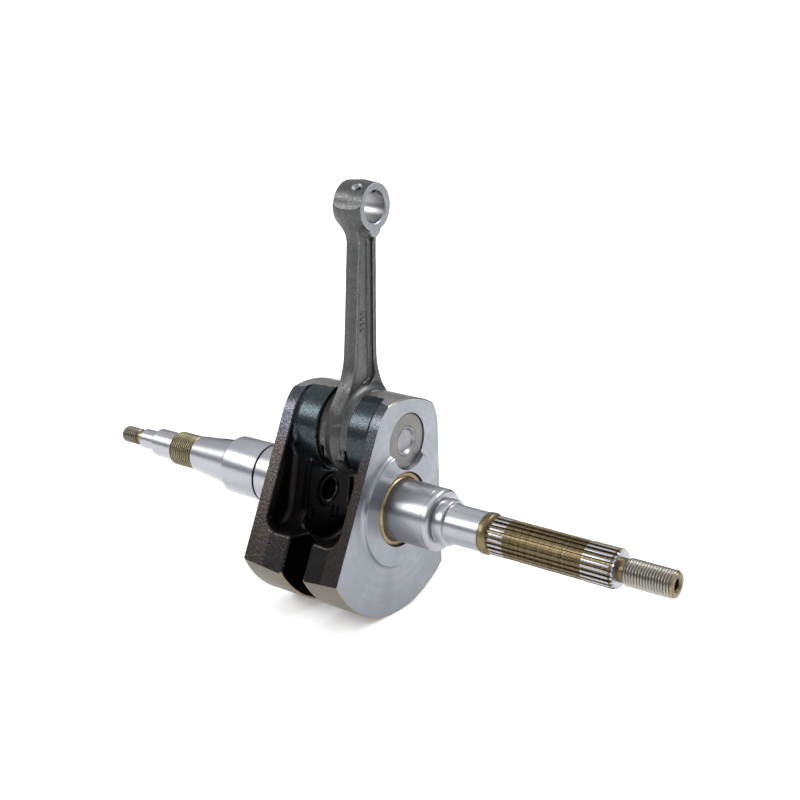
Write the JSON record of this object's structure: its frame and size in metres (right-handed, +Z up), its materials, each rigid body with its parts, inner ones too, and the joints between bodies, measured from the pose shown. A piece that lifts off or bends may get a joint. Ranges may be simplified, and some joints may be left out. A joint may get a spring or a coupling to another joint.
{
  "type": "crankshaft",
  "caption": "Built-up crankshaft of a small engine: forged webs with counterweights, pressed hollow crankpin, connecting rod on caged rollers, flywheel taper and splined drive shaft.",
  "frame": {"origin": "on the main axis, at the middle of the drive-side main bearing seat", "axes": "+X along the main axis towards the splined drive end, +Z up along the upright connecting rod, with the crankpin turned 9.8 degrees past it towards +Y"},
  "size_m": [0.366, 0.0921, 0.2275],
  "materials": {
    "crank_steel": "ground journals and turned faces on a forged body",
    "pin_steel": "phosphated, dull",
    "plug_steel": "pressed sheet, satin",
    "washer_bronze": "satin",
    "rod_steel": "forged and shot-blasted, faces turned",
    "cage_steel": "plated, satin",
    "roller_steel": "ground and polished"
  },
  "bodies": {
    "crank": {"drive_side_half": "crank_steel", "flywheel_side_half": "crank_steel", "crankpin": "pin_steel", "drive_plug": "plug_steel", "flywheel_plug": "plug_steel", "drive_thrust_washer": "washer_bronze", "flywheel_thrust_washer": "washer_bronze"},
    "rod": {"connecting_rod": "rod_steel"},
    "cage": {"big_end_cage": "cage_steel"},
    "roller_01": {"big_end_roller_01": "roller_steel"},
    "roller_02": {"big_end_roller_02": "roller_steel"},
    "roller_03": {"big_end_roller_03": "roller_steel"},
    "roller_04": {"big_end_roller_04": "roller_steel"},
    "roller_05": {"big_end_roller_05": "roller_steel"},
    "roller_06": {"big_end_roller_06": "roller_steel"},
    "roller_07": {"big_end_roller_07": "roller_steel"},
    "roller_08": {"big_end_roller_08": "roller_steel"},
    "roller_09": {"big_end_roller_09": "roller_steel"},
    "roller_10": {"big_end_roller_10": "roller_steel"},
    "roller_11": {"big_end_roller_11": "roller_steel"},
    "roller_12": {"big_end_roller_12": "roller_steel"},
    "roller_13": {"big_end_roller_13": "roller_steel"},
    "roller_14": {"big_end_roller_14": "roller_steel"},
    "roller_15": {"big_end_roller_15": "roller_steel"},
    "roller_16": {"big_end_roller_16": "roller_steel"}
  },
  "joints": [
    {"name": "rod_swing", "type": "hinge", "parent": "crank", "child": "rod", "pos_m": [-0.045, 0.00613, 0.03547], "axis": [1, 0, 0], "continuous": true},
    {"name": "cage_turn", "type": "hinge", "parent": "crank", "child": "cage", "pos_m": [-0.045, 0.00613, 0.03547], "axis": [1, 0, 0], "continuous": true},
    {"name": "roller_spin_01", "type": "hinge", "parent": "cage", "child": "roller_01", "pos_m": [-0.045, -0.00038, 0.05118], "axis": [1, 0, 0], "continuous": true},
    {"name": "roller_spin_02", "type": "hinge", "parent": "cage", "child": "roller_02", "pos_m": [-0.045, -0.00589, 0.0475], "axis": [1, 0, 0], "continuous": true},
    {"name": "roller_spin_03", "type": "hinge", "parent": "cage", "child": "roller_03", "pos_m": [-0.045, -0.00958, 0.04198], "axis": [1, 0, 0], "continuous": true},
    {"name": "roller_spin_04", "type": "hinge", "parent": "cage", "child": "roller_04", "pos_m": [-0.045, -0.01087, 0.03547], "axis": [1, 0, 0], "continuous": true},
    {"name": "roller_spin_05", "type": "hinge", "parent": "cage", "child": "roller_05", "pos_m": [-0.045, -0.00958, 0.02897], "axis": [1, 0, 0], "continuous": true},
    {"name": "roller_spin_06", "type": "hinge", "parent": "cage", "child": "roller_06", "pos_m": [-0.045, -0.00589, 0.02345], "axis": [1, 0, 0], "continuous": true},
    {"name": "roller_spin_07", "type": "hinge", "parent": "cage", "child": "roller_07", "pos_m": [-0.045, -0.00038, 0.01977], "axis": [1, 0, 0], "continuous": true},
    {"name": "roller_spin_08", "type": "hinge", "parent": "cage", "child": "roller_08", "pos_m": [-0.045, 0.00613, 0.01847], "axis": [1, 0, 0], "continuous": true},
    {"name": "roller_spin_09", "type": "hinge", "parent": "cage", "child": "roller_09", "pos_m": [-0.045, 0.01263, 0.01977], "axis": [1, 0, 0], "continuous": true},
    {"name": "roller_spin_10", "type": "hinge", "parent": "cage", "child": "roller_10", "pos_m": [-0.045, 0.01815, 0.02345], "axis": [1, 0, 0], "continuous": true},
    {"name": "roller_spin_11", "type": "hinge", "parent": "cage", "child": "roller_11", "pos_m": [-0.045, 0.02183, 0.02897], "axis": [1, 0, 0], "continuous": true},
    {"name": "roller_spin_12", "type": "hinge", "parent": "cage", "child": "roller_12", "pos_m": [-0.045, 0.02313, 0.03547], "axis": [1, 0, 0], "continuous": true},
    {"name": "roller_spin_13", "type": "hinge", "parent": "cage", "child": "roller_13", "pos_m": [-0.045, 0.02183, 0.04198], "axis": [1, 0, 0], "continuous": true},
    {"name": "roller_spin_14", "type": "hinge", "parent": "cage", "child": "roller_14", "pos_m": [-0.045, 0.01815, 0.0475], "axis": [1, 0, 0], "continuous": true},
    {"name": "roller_spin_15", "type": "hinge", "parent": "cage", "child": "roller_15", "pos_m": [-0.045, 0.01263, 0.05118], "axis": [1, 0, 0], "continuous": true},
    {"name": "roller_spin_16", "type": "hinge", "parent": "cage", "child": "roller_16", "pos_m": [-0.045, 0.00613, 0.05247], "axis": [1, 0, 0], "continuous": true}
  ],
  "couplings": [
    {"joint": "cage_turn", "follows": "rod_swing", "ratio": 0.55882},
    {"joint": "roller_spin_01", "follows": "rod_swing", "ratio": 4.1912},
    {"joint": "roller_spin_02", "follows": "rod_swing", "ratio": 4.1912},
    {"joint": "roller_spin_03", "follows": "rod_swing", "ratio": 4.1912},
    {"joint": "roller_spin_04", "follows": "rod_swing", "ratio": 4.1912},
    {"joint": "roller_spin_05", "follows": "rod_swing", "ratio": 4.1912},
    {"joint": "roller_spin_06", "follows": "rod_swing", "ratio": 4.1912},
    {"joint": "roller_spin_07", "follows": "rod_swing", "ratio": 4.1912},
    {"joint": "roller_spin_08", "follows": "rod_swing", "ratio": 4.1912},
    {"joint": "roller_spin_09", "follows": "rod_swing", "ratio": 4.1912},
    {"joint": "roller_spin_10", "follows": "rod_swing", "ratio": 4.1912},
    {"joint": "roller_spin_11", "follows": "rod_swing", "ratio": 4.1912},
    {"joint": "roller_spin_12", "follows": "rod_swing", "ratio": 4.1912},
    {"joint": "roller_spin_13", "follows": "rod_swing", "ratio": 4.1912},
    {"joint": "roller_spin_14", "follows": "rod_swing", "ratio": 4.1912},
    {"joint": "roller_spin_15", "follows": "rod_swing", "ratio": 4.1912},
    {"joint": "roller_spin_16", "follows": "rod_swing", "ratio": 4.1912}
  ]
}
